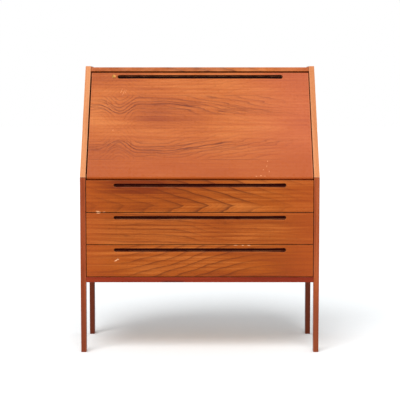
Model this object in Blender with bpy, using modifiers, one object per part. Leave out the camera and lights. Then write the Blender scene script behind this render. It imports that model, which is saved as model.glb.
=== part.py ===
"""Secretary desk: a case on four legs with a sloping fall front and three drawers.

X runs to the right, the drawers face -Y, Z is up, and the floor is z = 0.
Every wooden board and every metal fitting is an object of its own.
"""

import math

import bmesh
import bpy
from mathutils import Matrix, Vector

# Overall size, in metres
WIDTH = 1.000
DEPTH = 0.450
HEIGHT = 1.206
FRONT = -DEPTH / 2
BACK = DEPTH / 2

# Sides and legs
SIDE_THICKNESS = 0.023
LEG_DEPTH = 0.035
ELBOW_Z = 0.7375
SLOPE_TOP_Y = 0.080
CASE_BOTTOM = 0.296
PANEL_RECESS = 0.001
LEG_TAPER = 0.002
FOOT_ROUND = 0.004

# Gaps and edges
GAP = 0.0003
EDGE = 0.0012
FINE_EDGE = 0.0006
OVERRUN = 0.01          # how far a cutter runs past the piece it cuts

# Boards of the case
TOP_Z = 1.201
TOP_THICKNESS = 0.018
FLOOR_Z = 0.7465
FLOOR_THICKNESS = 0.018
FLOOR_FRONT_GAP = 0.0008
BACK_THICKNESS = 0.006
BACK_INSET = 0.0035
BACK_PANEL_RISE = 0.002
BACK_PANEL_DROP = 0.001
BOTTOM_BOARD_RISE = 0.003
BOTTOM_BOARD_THICKNESS = 0.016
RAIL_TOP = 0.3175
RAIL_DEPTH = 0.021
RAIL_RECESS = 0.0015

# Fall front
FALL_THICKNESS = 0.020
FALL_RECESS = 0.0065
FALL_SIDE_GAP = 0.0035
FALL_TOP_GAP = 0.006
PIVOT_Z = 0.7365
PIVOT_BORE = 0.032
LOCK_HOLE_LENGTH = 0.05

# Finger grooves
GROOVE_HALF_LENGTH = 0.360
GROOVE_DEPTH = 0.013
GROOVE_RISE = 0.003
DRAWER_GROOVE_HEIGHT = 0.0145
FALL_GROOVE_HEIGHT = 0.018
GROOVE_DROP = 0.021
GROOVE_CUTTER_PROUD = 0.004

# Main drawers
DRAWER_NAMES = ("lower", "middle", "top")
FIRST_DRAWER_Z = 0.3205
DRAWER_HEIGHT = 0.1327
DRAWER_SPACING = 0.1357
DRAWER_HALF_WIDTH = 0.4745
DRAWER_FRONT_THICKNESS = 0.021
DRAWER_RECESS = 0.002
DRAWER_BACK_Y = 0.184
DRAWER_SIDE_THICKNESS = 0.014
DRAWER_SIDE_BOTTOM = 0.006
DRAWER_SIDE_HEIGHT = 0.115
DRAWER_PANEL_THICKNESS = 0.005
DRAWER_PANEL_RISE = 0.009
DRAWER_GROOVE_BITE = 0.006
DRAWER_SIDE_INSET = 0.001
DRAWER_BACK_THICKNESS = 0.012
DRAWER_BACK_INSET = 0.001
DRAWER_BACK_DROP = 0.003
DRAWER_FLOOR_INSET = 0.0005
RUNNER_HEIGHT = 0.011
RUNNER_BITE = 0.0065
RUNNER_RISE = 0.064
RUNNER_GAP = 0.0005
RUNNER_FRONT_GAP = 0.002
RUNNER_BACK_Y = 0.182

# Pigeonholes and small drawers
INSERT_FRONT = 0.020
INSERT_TOP = 1.030
INSERT_HALF_WIDTH = 0.4475
UPRIGHT_THICKNESS = 0.012
DIVIDER_THICKNESS = 0.010
DIVIDER_X = 0.160
SHELF_Z = 0.836
SHELF_THICKNESS = 0.012
SMALL_GAP = 0.0015
SMALL_FRONT_THICKNESS = 0.012
SMALL_WALL = 0.008
SMALL_FLOOR = 0.005
SMALL_BACK_Y = 0.205
NOTCH_RADIUS = 0.014
DIVIDER_SETBACK = 0.002
DIVIDER_DROP = 0.004
SHELF_SETBACK = 0.001
SMALL_SETBACK = 0.0015
SMALL_BOX_GAP = 0.001
SMALL_BOX_DROP = 0.016

# Folding stays, as distances behind and above the fall's pivot
STAY_ANCHOR = (0.2486, 0.0897)
STAY_FALL_REACH = 0.2583
STAY_FALL_OFFSET = 0.020
STAY_REAR_LENGTH = 0.2540
STAY_FRONT_LENGTH = 0.2584
STAY_WIDTH = 0.012
STAY_THICKNESS = 0.0025
STAY_REAR_X = 0.4700
STAY_FRONT_X = 0.4665
STAY_STUD_RADIUS = 0.0025
STAY_HOLE_RADIUS = 0.0029
STAY_HEAD_RADIUS = 0.0042
STAY_PLATE = 0.0022
STAY_RIVET = 0.0022
STAY_RIVET_PROUD = 0.0004
STAY_HEAD_THICKNESS = 0.0012
STAY_STUD_PROUD = 0.0012
STAY_SEGMENTS = 24
SIDE_BRACKET_HALF_LENGTH = 0.026
SIDE_BRACKET_HEIGHT = 0.018
FALL_BRACKET_HALF_LENGTH = 0.016
FALL_BRACKET_WIDTH = 0.022
LUG_GAP = 0.001
LUG_HALF_WIDTH = 0.009
LUG_ROUND = 0.007
LUG_THICKNESS = 0.0025
WELD = 0.0005            # how far joined solids reach into each other

# Pivots of the fall
PIN_RADIUS = 0.004
PIN_PLATE_RADIUS = 0.009
PIN_PLATE = 0.0020
PIN_REACH = 0.0145
BUSH_INNER = 0.0043
BUSH_OUTER = 0.0062
BUSH_LENGTH = 0.014
BUSH_INSET = 0.0003

# Lock
LOCK_X = -0.375
LOCK_DROP = 0.020
LOCK_RADIUS = 0.0082
LOCK_RIM_RADIUS = 0.0088
LOCK_RIM = 0.0012
PLUG_RADIUS = 0.0052
LOCK_REACH = 0.0117
LOCK_NECK = 0.002
PLUG_SET_BACK = 0.0006
KEYWAY_HALF_WIDTH = 0.0006
KEYWAY_HALF_HEIGHT = 0.0034
KEYWAY_DEPTH = 0.008
CAM_LENGTH = 0.026
CAM_WIDTH = 0.010
CAM_THICKNESS = 0.002
STRIKE_THICKNESS = 0.010
STRIKE_OVERLAP = 0.008

# Worked-out places
INNER_X = WIDTH / 2 - SIDE_THICKNESS
BOARD_X = INNER_X - GAP
LEG_BACK_Y = FRONT + LEG_DEPTH
REAR_LEG_Y = BACK - LEG_DEPTH
TOP_UNDERSIDE = TOP_Z - TOP_THICKNESS
FLOOR_UNDERSIDE = FLOOR_Z - FLOOR_THICKNESS
BACK_PANEL_Y = BACK - BACK_INSET - BACK_THICKNESS
BOARD_BACK_Y = BACK_PANEL_Y - GAP
DRAWER_FACE_Y = FRONT + DRAWER_RECESS
DRAWER_INSIDE_Y = DRAWER_FACE_Y + DRAWER_FRONT_THICKNESS
SLOPE_RUN = Vector((SLOPE_TOP_Y - FRONT, HEIGHT - ELBOW_Z))
SLOPE_ANGLE = math.atan2(SLOPE_RUN.y, SLOPE_RUN.x)
ALONG = Vector((math.cos(SLOPE_ANGLE), math.sin(SLOPE_ANGLE)))
BEHIND = Vector((ALONG.y, -ALONG.x))
ELBOW = Vector((FRONT, ELBOW_Z))
SIDES = (("left", -1), ("right", 1))

# Colours
TEAK_LIGHT = (0.56, 0.20, 0.075)
TEAK = (0.46, 0.13, 0.045)
TEAK_DARK = (0.28, 0.075, 0.028)
TEAK_RED = (0.25, 0.045, 0.020)
BIRCH = (0.66, 0.47, 0.28)
BRASS = (0.75, 0.56, 0.26)


# ---------------------------------------------------------------- helpers

def clear_scene():
    for item in list(bpy.data.objects):
        bpy.data.objects.remove(item, do_unlink=True)


def new_collection(name):
    collection = bpy.data.collections.new(name)
    bpy.context.scene.collection.children.link(collection)
    return collection


def new_material(name, colour, roughness, metallic=0.0):
    material = bpy.data.materials.new(name)
    material.use_nodes = True
    shader = material.node_tree.nodes["Principled BSDF"]
    shader.inputs["Base Color"].default_value = (*colour, 1.0)
    shader.inputs["Roughness"].default_value = roughness
    shader.inputs["Metallic"].default_value = metallic
    return material


def new_pivot(name, location, tilt=0.0):
    """An empty on a joint's axis, which its moving pieces hang from."""
    pivot = bpy.data.objects.new(name, None)
    pivot.location = location
    pivot.rotation_euler = (tilt, 0.0, 0.0)
    pivot.empty_display_size = 0.03
    parts.objects.link(pivot)
    return pivot


def add_object(name, mesh, look, location=(0, 0, 0), rotation=(0, 0, 0), pivot=None):
    item = bpy.data.objects.new(name, mesh)
    item.location = location
    item.rotation_euler = rotation
    if pivot:
        item.parent = pivot
    if look:
        mesh.materials.append(look)
        parts.objects.link(item)
    else:
        cutters.objects.link(item)
        item.hide_render = True
        item.display_type = "WIRE"
    return item


def bevel(item, width, segments=2):
    modifier = item.modifiers.new("edges", "BEVEL")
    modifier.width = width
    modifier.segments = segments
    modifier.limit_method = "ANGLE"
    modifier.angle_limit = math.radians(40)
    return item


def box_mesh(name, size):
    mesh = bpy.data.meshes.new(name)
    work = bmesh.new()
    bmesh.ops.create_cube(work, size=1.0)
    bmesh.ops.scale(work, vec=size, verts=work.verts)
    work.to_mesh(mesh)
    work.free()
    return mesh


def board(name, x, y, z, look, edge=EDGE, pivot=None):
    """A rectangular board between the given limits."""
    low = Vector((x[0], y[0], z[0]))
    high = Vector((x[1], y[1], z[1]))
    item = add_object(name, box_mesh(name, high - low), look, (low + high) / 2, pivot=pivot)
    if edge:
        bevel(item, edge)
    return item


def smooth_rounds(mesh):
    """Smooth shading over the arcs, sharp at the corners."""
    mesh.shade_smooth()
    mesh.set_sharp_from_angle(angle=math.radians(40))


def round_bar(name, radius, length, look, location, rotation=(0, 0, 0), pivot=None, segments=32):
    """A cylinder along its own Z."""
    mesh = bpy.data.meshes.new(name)
    work = bmesh.new()
    bmesh.ops.create_cone(work, cap_ends=True, segments=segments, radius1=radius,
                          radius2=radius, depth=length)
    work.to_mesh(mesh)
    work.free()
    smooth_rounds(mesh)
    return add_object(name, mesh, look, location, rotation, pivot)


TURNS = {
    "x": (math.pi / 2, 0.0, math.pi / 2),
    "y": (math.pi / 2, 0.0, 0.0),
    "z": (0.0, 0.0, 0.0),
}


def outline_mesh(name, points, thickness):
    """A flat outline, filled and given a thickness, as a welded mesh."""
    curve = bpy.data.curves.new(name, "CURVE")
    curve.dimensions = "2D"
    curve.fill_mode = "BOTH"
    curve.extrude = thickness / 2
    spline = curve.splines.new("POLY")
    spline.points.add(len(points) - 1)
    for slot, (across, up) in zip(spline.points, points):
        slot.co = (across, up, 0.0, 1.0)
    spline.use_cyclic_u = True
    holder = bpy.data.objects.new(name + "_outline", curve)
    bpy.context.scene.collection.objects.link(holder)
    graph = bpy.context.evaluated_depsgraph_get()
    mesh = bpy.data.meshes.new_from_object(holder.evaluated_get(graph))
    bpy.data.objects.remove(holder, do_unlink=True)
    work = bmesh.new()
    work.from_mesh(mesh)
    bmesh.ops.remove_doubles(work, verts=work.verts, dist=0.00001)
    bmesh.ops.dissolve_limit(work, angle_limit=0.001, verts=work.verts, edges=work.edges)
    bmesh.ops.recalc_face_normals(work, faces=work.faces)
    work.to_mesh(mesh)
    work.free()
    mesh.name = name
    smooth_rounds(mesh)
    return mesh


def profile(name, axis, points, span, look, edge=EDGE, pivot=None):
    """An outline carried along an axis: (y, z) points for x, (x, z) for y, (x, y) for z."""
    middle = (span[0] + span[1]) / 2
    place = {"x": (middle, 0, 0), "y": (0, middle, 0), "z": (0, 0, middle)}[axis]
    mesh = outline_mesh(name, points, span[1] - span[0])
    item = add_object(name, mesh, look, place, TURNS[axis], pivot)
    if edge:
        bevel(item, edge)
    return item


def arc(centre, radius, start, end, steps):
    """Points along an arc, with the angles in degrees."""
    points = []
    for step in range(steps + 1):
        angle = math.radians(start + (end - start) * step / steps)
        points.append((centre[0] + radius * math.cos(angle), centre[1] + radius * math.sin(angle)))
    return points


def stadium(half_length, height, steps=8):
    """A slot with round ends, centred on the origin."""
    radius = height / 2
    right = arc((half_length - radius, 0), radius, -90, 90, steps)
    left = arc((radius - half_length, 0), radius, 90, 270, steps)
    return right + left


def combine(item, other, operation="DIFFERENCE"):
    modifier = item.modifiers.new(operation.lower(), "BOOLEAN")
    modifier.operation = operation
    modifier.solver = "EXACT"
    modifier.object = other
    return item


def slope_point(along, behind):
    """(y, z) on the side's slope: a distance up it, and a depth behind its front edge."""
    return ELBOW + ALONG * along + BEHIND * behind


def slope_at_z(z, behind):
    along = (z - ELBOW_Z - behind * BEHIND.y) / ALONG.y
    return slope_point(along, behind)


def slope_at_y(y, behind):
    along = (y - FRONT - behind * BEHIND.x) / ALONG.x
    return slope_point(along, behind)


# ---------------------------------------------------------------- the case

def shape_foot(item):
    """Rounds the foot's edge and narrows the foot on its inner side."""
    mesh = item.data
    work = bmesh.new()
    work.from_mesh(mesh)
    foot = [edge for edge in work.edges if all(abs(vert.co.y) < 0.0001 for vert in edge.verts)]
    inward = -math.copysign(1.0, item.location.x)
    for vert in work.verts:
        if abs(vert.co.y) < 0.0001 and vert.co.z * inward > 0:
            vert.co.z -= inward * LEG_TAPER
    bmesh.ops.bevel(work, geom=foot, offset=FOOT_ROUND, segments=3, profile=0.5,
                    affect="EDGES", clamp_overlap=True)
    work.to_mesh(mesh)
    work.free()


def side_span(sign, low, high):
    return (low, high) if sign > 0 else (-high, -low)


def build_sides():
    corner = slope_at_y(LEG_BACK_Y, LEG_DEPTH)
    edge_top = slope_at_z(HEIGHT, LEG_DEPTH)
    for side, sign in SIDES:
        span = side_span(sign, INNER_X, WIDTH / 2)
        leg = profile(side + "_front_leg", "x", [
            (FRONT, 0.0),
            (LEG_BACK_Y, 0.0),
            (LEG_BACK_Y, corner.y - GAP / 2),
            (FRONT, ELBOW_Z - GAP / 2),
        ], span, looks["teak_leg"])
        shape_foot(leg)
        rear = profile(side + "_back_leg", "x", [
            (REAR_LEG_Y, 0.0),
            (BACK, 0.0),
            (BACK, HEIGHT),
            (REAR_LEG_Y, HEIGHT),
        ], span, looks["teak_leg"])
        shape_foot(rear)
        profile(side + "_slope_rail", "x", [
            (FRONT, ELBOW_Z + GAP / 2),
            (LEG_BACK_Y, corner.y + GAP / 2),
            (edge_top.x, HEIGHT),
            (SLOPE_TOP_Y, HEIGHT),
        ], span, looks["teak_edge"])
        panel_corner = slope_at_y(LEG_BACK_Y + GAP, LEG_DEPTH + GAP)
        panel_top = slope_at_z(HEIGHT, LEG_DEPTH + GAP)
        profile(side + "_side_panel", "x", [
            (LEG_BACK_Y + GAP, CASE_BOTTOM),
            (REAR_LEG_Y - GAP, CASE_BOTTOM),
            (REAR_LEG_Y - GAP, HEIGHT),
            (panel_top.x, HEIGHT),
            (panel_corner.x, panel_corner.y),
        ], side_span(sign, INNER_X, WIDTH / 2 - PANEL_RECESS), looks["teak_side"], FINE_EDGE)


def build_boards():
    front_low = slope_at_z(TOP_UNDERSIDE, FALL_RECESS)
    front_high = slope_at_z(TOP_Z, FALL_RECESS)
    profile("top_board", "x", [
        (front_low.x, TOP_UNDERSIDE),
        (BOARD_BACK_Y, TOP_UNDERSIDE),
        (BOARD_BACK_Y, TOP_Z),
        (front_high.x, TOP_Z),
    ], (-BOARD_X, BOARD_X), looks["teak_edge"])
    behind_fall = FALL_RECESS + FALL_THICKNESS + FLOOR_FRONT_GAP
    profile("desk_floor", "x", [
        (slope_at_z(FLOOR_UNDERSIDE, behind_fall).x, FLOOR_UNDERSIDE),
        (BOARD_BACK_Y, FLOOR_UNDERSIDE),
        (BOARD_BACK_Y, FLOOR_Z),
        (slope_at_z(FLOOR_Z, behind_fall).x, FLOOR_Z),
    ], (-BOARD_X, BOARD_X), looks["teak_inside"], FINE_EDGE)
    rail_front = FRONT + RAIL_RECESS
    rail_back = rail_front + RAIL_DEPTH
    board("bottom_rail", (-BOARD_X, BOARD_X), (rail_front, rail_back),
          (CASE_BOTTOM, RAIL_TOP), looks["teak_rail"])
    board("bottom_board", (-BOARD_X, BOARD_X), (rail_back + GAP, BOARD_BACK_Y),
          (CASE_BOTTOM + BOTTOM_BOARD_RISE, CASE_BOTTOM + BOTTOM_BOARD_RISE + BOTTOM_BOARD_THICKNESS),
          looks["birch"], FINE_EDGE)
    board("back_panel", (-BOARD_X, BOARD_X), (BACK_PANEL_Y, BACK_PANEL_Y + BACK_THICKNESS),
          (CASE_BOTTOM + BACK_PANEL_RISE, TOP_Z - BACK_PANEL_DROP), looks["back_veneer"], FINE_EDGE)


def build_runners():
    run_x = DRAWER_HALF_WIDTH - DRAWER_SIDE_INSET - RUNNER_BITE
    for level, name in enumerate(DRAWER_NAMES):
        middle = FIRST_DRAWER_Z + level * DRAWER_SPACING + RUNNER_RISE
        for side, sign in SIDES:
            board("runner_" + name + "_" + side, side_span(sign, run_x, BOARD_X),
                  (LEG_BACK_Y + RUNNER_FRONT_GAP, RUNNER_BACK_Y),
                  (middle - RUNNER_HEIGHT / 2, middle + RUNNER_HEIGHT / 2),
                  looks["birch"], FINE_EDGE)


# ---------------------------------------------------------------- the fall front

def groove_cutter(name, height, pivot, location, rotation):
    """A round-ended slot that leans upwards as it goes in, for the fingertips."""
    reach = GROOVE_DEPTH + GROOVE_CUTTER_PROUD
    mesh = outline_mesh(name, stadium(GROOVE_HALF_LENGTH, height), reach)
    for vert in mesh.vertices:
        vert.co.z += GROOVE_CUTTER_PROUD - reach / 2
        vert.co.y -= GROOVE_RISE * vert.co.z / GROOVE_DEPTH
    return add_object(name, mesh, None, location, rotation, pivot)


def build_fall():
    half = FALL_THICKNESS / 2
    half_width = INNER_X - FALL_SIDE_GAP
    # the pieces below are placed in the fall's own frame: y up the fall, z out of its face
    lower_end = arc((0.0, 0.0), half, 90, 270, 10)
    fall = profile("fall_front", "x", [
        (FALL_LENGTH, -half),
        (FALL_LENGTH, half),
        *lower_end,
    ], (-half_width, half_width), looks["teak_fall"], pivot=fall_axis)
    groove = groove_cutter("fall_groove_cutter", FALL_GROOVE_HEIGHT, fall_axis,
                           (0.0, FALL_LENGTH - GROOVE_DROP, half), (0, 0, 0))
    combine(fall, groove)
    for side, sign in SIDES:
        bore = round_bar("pivot_bore_cutter_" + side, BUSH_OUTER + GAP, PIVOT_BORE, None,
                         (sign * half_width, 0.0, 0.0), (0, math.pi / 2, 0), fall_axis)
        combine(fall, bore)
    lock_hole = round_bar("lock_hole_cutter", LOCK_RADIUS + GAP, LOCK_HOLE_LENGTH, None,
                          (LOCK_X, LOCK_Y, 0.0), pivot=fall_axis)
    combine(fall, lock_hole)
    for side, sign in SIDES:
        middle = sign * (half_width - BUSH_INSET - BUSH_LENGTH / 2)
        bush = round_bar("pivot_bush_" + side, BUSH_OUTER, BUSH_LENGTH, looks["brass"],
                         (middle, 0.0, 0.0), (0, math.pi / 2, 0), fall_axis)
        hole = round_bar("bush_bore_cutter_" + side, BUSH_INNER, BUSH_LENGTH + OVERRUN, None,
                         (middle, 0.0, 0.0), (0, math.pi / 2, 0), fall_axis)
        combine(bush, hole)


def build_pivot_pins():
    for side, sign in SIDES:
        outer = sign * BOARD_X
        plate = round_bar("pivot_pin_" + side, PIN_PLATE_RADIUS, PIN_PLATE, looks["brass"],
                          (outer - sign * PIN_PLATE / 2, FALL_AXIS.y, FALL_AXIS.z),
                          (0, math.pi / 2, 0))
        stud = round_bar("pivot_stud_" + side, PIN_RADIUS, PIN_REACH, None,
                         (outer - sign * (PIN_REACH / 2 + WELD), FALL_AXIS.y, FALL_AXIS.z),
                         (0, math.pi / 2, 0))
        combine(plate, stud, "UNION")


# ---------------------------------------------------------------- the folding stays

def circle_crossing(first, first_radius, second, second_radius):
    """The crossing of two circles that lies higher on the far side of the fall."""
    apart = second - first
    distance = apart.length
    near = (first_radius ** 2 - second_radius ** 2 + distance ** 2) / (2 * distance)
    rise = math.sqrt(first_radius ** 2 - near ** 2)
    unit = apart / distance
    return first + unit * near + Vector((unit.y, -unit.x)) * rise


def bar_outline(length, width, steps=8):
    """A flat bar with round ends, from the origin to (length, 0)."""
    radius = width / 2
    return arc((length, 0), radius, -90, 90, steps) + arc((0, 0), radius, 90, 270, steps)


def flat_link(name, pivot, angle, length, x_middle, boss_sign):
    """A bar in the Y-Z plane: a hole at its pivot, and a rivet head at the knee."""
    mesh = outline_mesh(name, bar_outline(length, STAY_WIDTH), STAY_THICKNESS)
    tilt = Matrix.Rotation(angle, 3, "X")
    turn = tilt @ Matrix(((0, 0, 1), (1, 0, 0), (0, 1, 0)))
    link = add_object(name, mesh, looks["brass"], (x_middle, 0, 0), turn.to_euler(), pivot)
    hole = round_bar(name + "_hole_cutter", STAY_HOLE_RADIUS, OVERRUN, None,
                     (x_middle, 0, 0), (0, math.pi / 2, 0), pivot, STAY_SEGMENTS)
    combine(link, hole)
    end = tilt @ Vector((0, length, 0))
    boss = round_bar(name + "_rivet", STAY_HEAD_RADIUS, STAY_RIVET, None,
                     (x_middle + boss_sign * (STAY_THICKNESS / 2 + STAY_RIVET_PROUD), end.y, end.z),
                     (0, math.pi / 2, 0), pivot, STAY_SEGMENTS)
    combine(link, boss, "UNION")
    return link


def stud_on(item, name, x_span, place, radius, pivot=None):
    length = abs(x_span[1] - x_span[0])
    stud = round_bar(name, radius, length, None,
                     ((x_span[0] + x_span[1]) / 2, place[0], place[1]),
                     (0, math.pi / 2, 0), pivot, STAY_SEGMENTS)
    combine(item, stud, "UNION")


def build_stays():
    axis = Vector((FALL_AXIS.y, FALL_AXIS.z))
    anchor = axis + Vector(STAY_ANCHOR)
    fall_point = axis + ALONG * STAY_FALL_REACH + BEHIND * STAY_FALL_OFFSET
    knee = circle_crossing(anchor, STAY_REAR_LENGTH, fall_point, STAY_FRONT_LENGTH)
    rear_angle = math.atan2(knee.y - anchor.y, knee.x - anchor.x)
    front_angle = math.atan2(knee.y - fall_point.y, knee.x - fall_point.x)
    for side, sign in SIDES:
        rear_x = sign * (STAY_REAR_X + STAY_THICKNESS / 2)
        front_x = sign * (STAY_FRONT_X + STAY_THICKNESS / 2)
        rear_pivot = new_pivot("stay_anchor_axis_" + side, (0, anchor.x, anchor.y))
        flat_link("stay_rear_link_" + side, rear_pivot, rear_angle, STAY_REAR_LENGTH, rear_x, sign)
        front_pivot = new_pivot("stay_fall_axis_" + side, (0, fall_point.x, fall_point.y))
        flat_link("stay_front_link_" + side, front_pivot, front_angle, STAY_FRONT_LENGTH, front_x, -sign)
        plate_x = side_span(sign, BOARD_X - STAY_PLATE, BOARD_X)
        bracket = profile("stay_side_bracket_" + side, "x", [
            (point[0] + anchor.x, point[1] + anchor.y)
            for point in stadium(SIDE_BRACKET_HALF_LENGTH, SIDE_BRACKET_HEIGHT)
        ], plate_x, looks["brass"], 0)
        inner = BOARD_X - STAY_PLATE + WELD
        stud_on(bracket, "stay_side_stud_" + side, (sign * inner, sign * (STAY_REAR_X - STAY_STUD_PROUD)),
                anchor, STAY_STUD_RADIUS)
        stud_on(bracket, "stay_side_head_" + side,
                (sign * (STAY_REAR_X - STAY_RIVET_PROUD),
                 sign * (STAY_REAR_X - STAY_RIVET_PROUD - STAY_HEAD_THICKNESS)),
                anchor, STAY_HEAD_RADIUS)
        build_fall_bracket(side, sign)


def build_fall_bracket(side, sign):
    """An angle bracket on the fall's inner face, in the fall's own frame."""
    face = -FALL_THICKNESS / 2 - GAP
    lug_x = STAY_FRONT_X - LUG_GAP
    place = (STAY_FALL_REACH, -STAY_FALL_OFFSET)
    base = board("stay_fall_bracket_" + side, side_span(sign, lug_x - FALL_BRACKET_WIDTH, lug_x),
                 (STAY_FALL_REACH - FALL_BRACKET_HALF_LENGTH, STAY_FALL_REACH + FALL_BRACKET_HALF_LENGTH),
                 (face - STAY_PLATE, face), looks["brass"], 0, fall_axis)
    lug = profile("stay_lug_" + side, "x", [
        (place[0] + LUG_HALF_WIDTH, face - WELD),
        (place[0] - LUG_HALF_WIDTH, face - WELD),
        *arc(place, LUG_ROUND, 180, 360, 8),
    ], side_span(sign, lug_x - LUG_THICKNESS, lug_x), None, 0, fall_axis)
    combine(base, lug, "UNION")
    link_face = STAY_FRONT_X + STAY_THICKNESS
    stud_on(base, "stay_fall_stud_" + side,
            (sign * (lug_x - LUG_GAP), sign * (link_face + STAY_STUD_PROUD)),
            place, STAY_STUD_RADIUS, fall_axis)
    stud_on(base, "stay_fall_head_" + side,
            (sign * (link_face + STAY_RIVET_PROUD),
             sign * (link_face + STAY_RIVET_PROUD + STAY_HEAD_THICKNESS)),
            place, STAY_HEAD_RADIUS, fall_axis)


# ---------------------------------------------------------------- the lock

def build_lock():
    half = FALL_THICKNESS / 2
    rear = -half - LOCK_REACH
    lock_axis = new_pivot("lock_axis", (LOCK_X, LOCK_Y, 0.0))
    lock_axis.parent = fall_axis
    length = half - rear
    housing = round_bar("lock_housing", LOCK_RADIUS, length, looks["brass"],
                        (0, 0, (half + rear) / 2), pivot=lock_axis)
    rim = round_bar("lock_rim", LOCK_RIM_RADIUS, LOCK_RIM, None,
                    (0, 0, half + GAP + LOCK_RIM / 2), pivot=lock_axis)
    neck = round_bar("lock_neck", LOCK_RADIUS, LOCK_NECK, None, (0, 0, half + GAP), pivot=lock_axis)
    bore = round_bar("lock_bore_cutter", PLUG_RADIUS + GAP, 2 * length + OVERRUN, None, (0, 0, 0),
                     pivot=lock_axis)
    combine(housing, neck, "UNION")
    combine(housing, rim, "UNION")
    combine(housing, bore)
    plug_front = half + LOCK_RIM - PLUG_SET_BACK
    plug = round_bar("lock_plug", PLUG_RADIUS, plug_front - rear, looks["brass"],
                     (0, 0, (plug_front + rear) / 2), pivot=lock_axis)
    keyway = board("keyway_cutter", (-KEYWAY_HALF_WIDTH, KEYWAY_HALF_WIDTH),
                   (-KEYWAY_HALF_HEIGHT, KEYWAY_HALF_HEIGHT),
                   (plug_front - KEYWAY_DEPTH, plug_front + OVERRUN), None, 0, lock_axis)
    combine(plug, keyway)
    bar = bar_outline(CAM_LENGTH - CAM_WIDTH / 2, CAM_WIDTH)
    outline = [(-point[0], point[1]) for point in reversed(bar)]
    profile("lock_cam", "z", outline, (rear - GAP - CAM_THICKNESS, rear - GAP),
            looks["steel"], 0, lock_axis)


def build_strike_rail():
    front = FALL_RECESS + FALL_THICKNESS + GAP
    rear = front + STRIKE_THICKNESS
    low = FALL_TOP_ALONG - STRIKE_OVERLAP
    ceiling = TOP_UNDERSIDE - GAP
    profile("strike_rail", "x", [
        tuple(slope_point(low, front)),
        tuple(slope_point(low, rear)),
        tuple(slope_at_z(ceiling, rear)),
        tuple(slope_at_z(ceiling, front)),
    ], (-BOARD_X, BOARD_X), looks["teak_inside"], FINE_EDGE)


# ---------------------------------------------------------------- drawers

def drawer_side_outline(sign, low):
    """The side board's section, with the runner groove outside and the panel groove inside."""
    outer = DRAWER_HALF_WIDTH - DRAWER_SIDE_INSET
    inner = outer - DRAWER_SIDE_THICKNESS
    bottom = low + DRAWER_SIDE_BOTTOM
    top = bottom + DRAWER_SIDE_HEIGHT
    run = low + RUNNER_RISE
    run_half = RUNNER_HEIGHT / 2 + RUNNER_GAP
    deep = outer - RUNNER_BITE - RUNNER_GAP
    panel_low = low + DRAWER_SIDE_BOTTOM + DRAWER_PANEL_RISE - GAP
    panel_high = panel_low + DRAWER_PANEL_THICKNESS + 2 * GAP
    bite = inner + DRAWER_GROOVE_BITE
    points = [
        (inner, bottom), (outer, bottom),
        (outer, run - run_half), (deep, run - run_half),
        (deep, run + run_half), (outer, run + run_half),
        (outer, top), (inner, top),
        (inner, panel_high), (bite, panel_high),
        (bite, panel_low), (inner, panel_low),
    ]
    return [(sign * across, up) for across, up in points]


def build_drawer(level, name):
    low = FIRST_DRAWER_Z + level * DRAWER_SPACING
    high = low + DRAWER_HEIGHT
    panel_low = low + DRAWER_SIDE_BOTTOM + DRAWER_PANEL_RISE
    panel_high = panel_low + DRAWER_PANEL_THICKNESS
    inner = DRAWER_HALF_WIDTH - DRAWER_SIDE_INSET - DRAWER_SIDE_THICKNESS
    prefix = "drawer_" + name + "_"
    front = board(prefix + "front", (-DRAWER_HALF_WIDTH, DRAWER_HALF_WIDTH),
                  (DRAWER_FACE_Y, DRAWER_INSIDE_Y), (low, high), looks["teak_front"])
    past_end = DRAWER_HALF_WIDTH + OVERRUN
    panel_groove = board(prefix + "panel_groove_cutter", (-past_end, past_end),
                         (DRAWER_INSIDE_Y - DRAWER_GROOVE_BITE, DRAWER_INSIDE_Y + OVERRUN),
                         (panel_low - GAP, panel_high + GAP), None, 0)
    combine(front, panel_groove)
    groove = groove_cutter(prefix + "groove_cutter", DRAWER_GROOVE_HEIGHT, None,
                           (0.0, DRAWER_FACE_Y, high - GROOVE_DROP), (math.pi / 2, 0, 0))
    combine(front, groove)
    for side, sign in SIDES:
        profile(prefix + side + "_side", "y", drawer_side_outline(sign, low),
                (DRAWER_INSIDE_Y + GAP, DRAWER_BACK_Y), looks["birch"], 0)
    rear = DRAWER_BACK_Y - DRAWER_BACK_INSET
    board(prefix + "back", (GAP - inner, inner - GAP), (rear - DRAWER_BACK_THICKNESS, rear),
          (panel_high + GAP, low + DRAWER_SIDE_BOTTOM + DRAWER_SIDE_HEIGHT - DRAWER_BACK_DROP),
          looks["birch"], FINE_EDGE)
    reach = inner + DRAWER_GROOVE_BITE - GAP
    board(prefix + "floor", (-reach, reach),
          (DRAWER_INSIDE_Y - DRAWER_GROOVE_BITE + GAP, DRAWER_BACK_Y - DRAWER_FLOOR_INSET),
          (panel_low, panel_high), looks["drawer_floor"], 0)
    pivot = new_pivot(prefix + "slide", (0, DRAWER_FACE_Y, (low + high) / 2))
    hang_on(pivot, prefix)


def hang_on(pivot, prefix):
    """Parents the pieces of one drawer to its empty without moving them."""
    back = Matrix.Translation(pivot.location).inverted()
    for item in list(parts.objects) + list(cutters.objects):
        if item.name.startswith(prefix) and item is not pivot and item.parent is None:
            item.parent = pivot
            item.matrix_parent_inverse = back


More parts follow.
